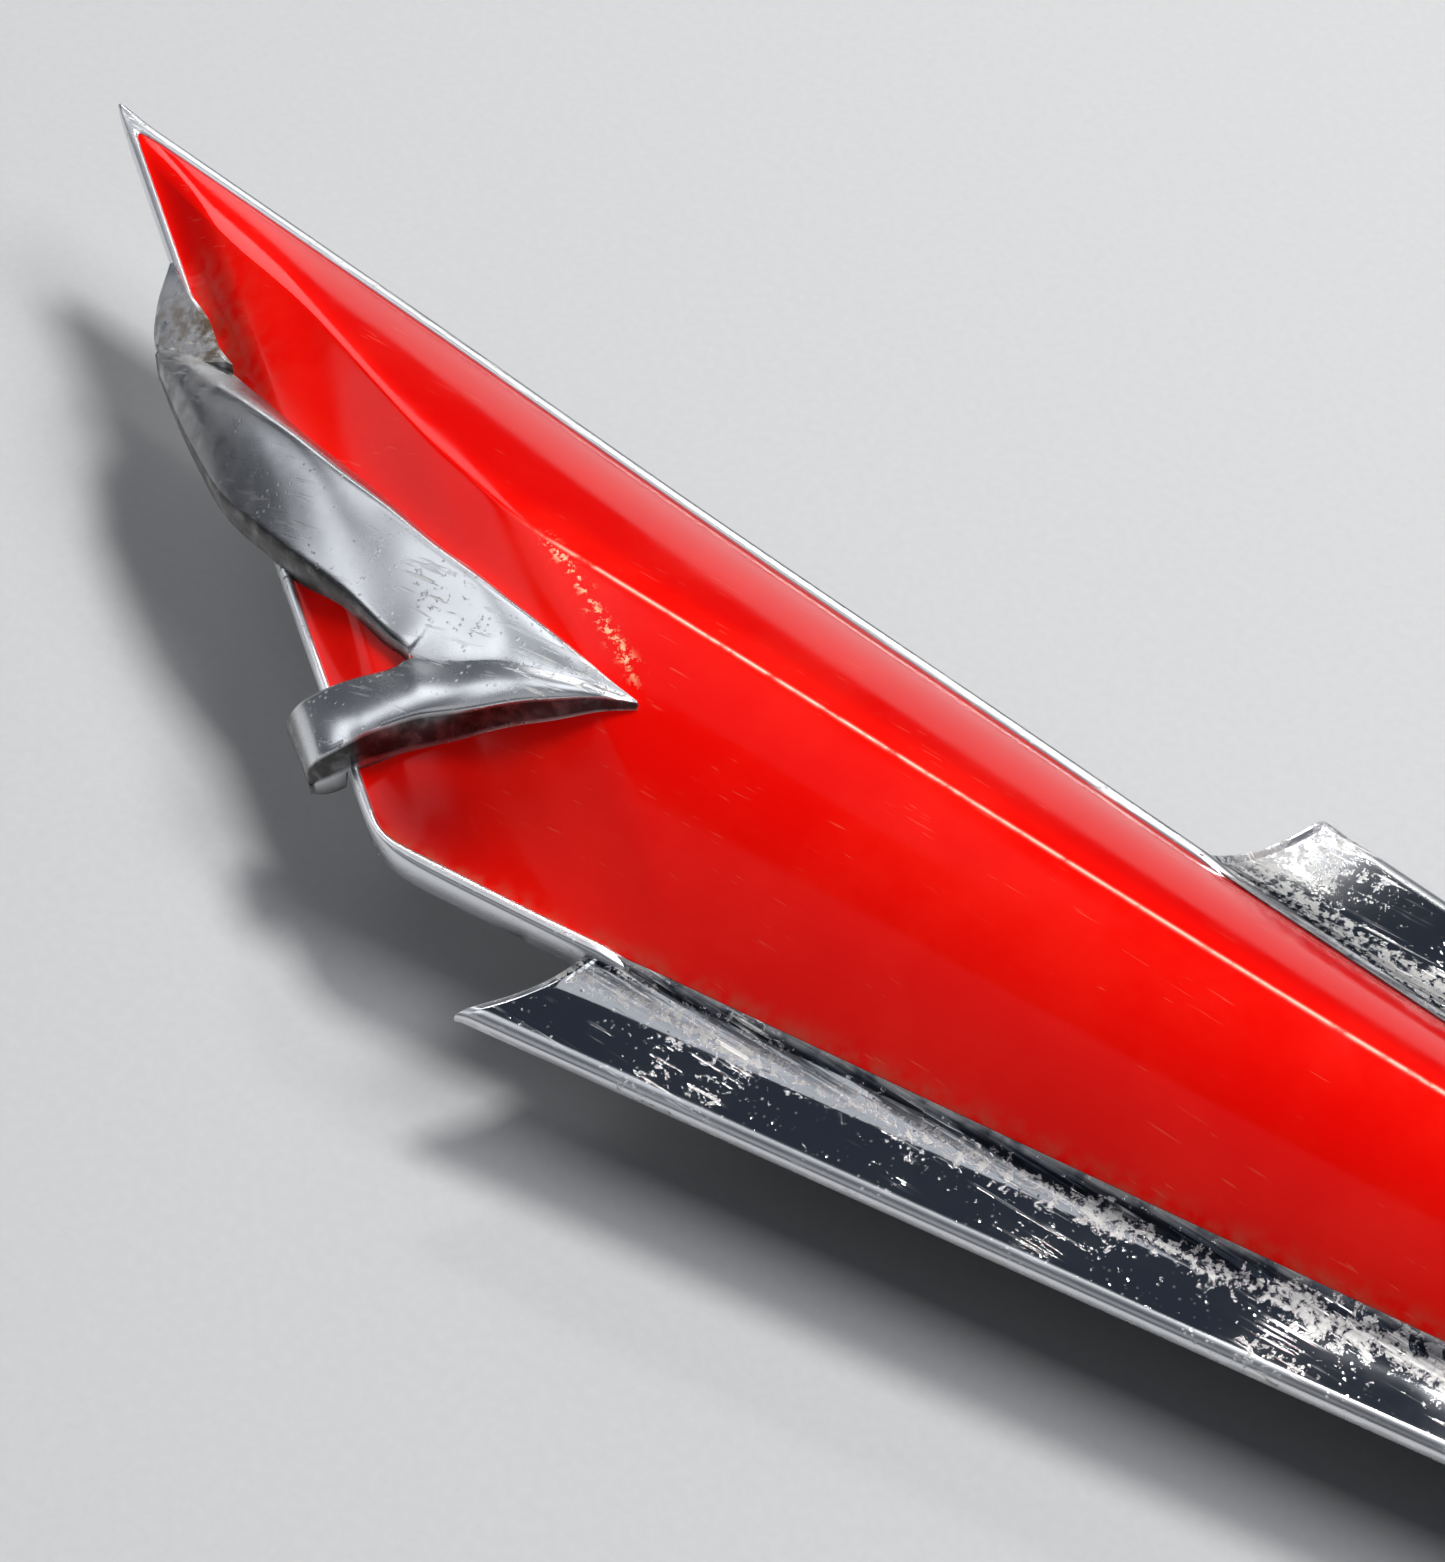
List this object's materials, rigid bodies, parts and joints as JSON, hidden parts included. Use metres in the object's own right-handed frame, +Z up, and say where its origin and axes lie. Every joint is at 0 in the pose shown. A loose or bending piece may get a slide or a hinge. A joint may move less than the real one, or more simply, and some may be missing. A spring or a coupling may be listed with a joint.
{
  "type": "hood ornament",
  "caption": "Raked-tail chrome spear hood ornament with a creased red acrylic insert, coved side flanges, a hooked delta trim over the tail and studded underside hardware.",
  "frame": {"origin": "on the underside of the mounting pad, on the spear's centre line, between the rear and front studs", "axes": "+X forward to the nose, +Y to the long side of the raked tail, +Z up away from the hood"},
  "size_m": [0.345, 0.0746, 0.0327],
  "materials": {
    "chrome": "worn and pitted plating over zinc die casting",
    "red_acrylic": "glossy with fine scratches and haze",
    "foil": "pressed bright foil",
    "rubber": "matt aged rubber",
    "steel": "dull zinc-plated steel"
  },
  "bodies": {
    "root": {"casting": "chrome", "red_insert": "red_acrylic", "reflector": "foil", "delta_trim": "chrome", "mounting_pad": "rubber", "stud_rear_near": "steel", "washer_rear_near": "steel", "lock_washer_rear_near": "steel", "nut_rear_near": "steel", "stud_rear_far": "steel", "washer_rear_far": "steel", "lock_washer_rear_far": "steel", "nut_rear_far": "steel", "stud_front": "steel", "washer_front": "steel", "lock_washer_front": "steel", "nut_front": "steel", "push_nut_rear": "steel", "push_nut_middle": "steel", "push_nut_front": "steel", "trim_nut_front": "steel", "trim_nut_rear": "steel"}
  },
  "joints": []
}
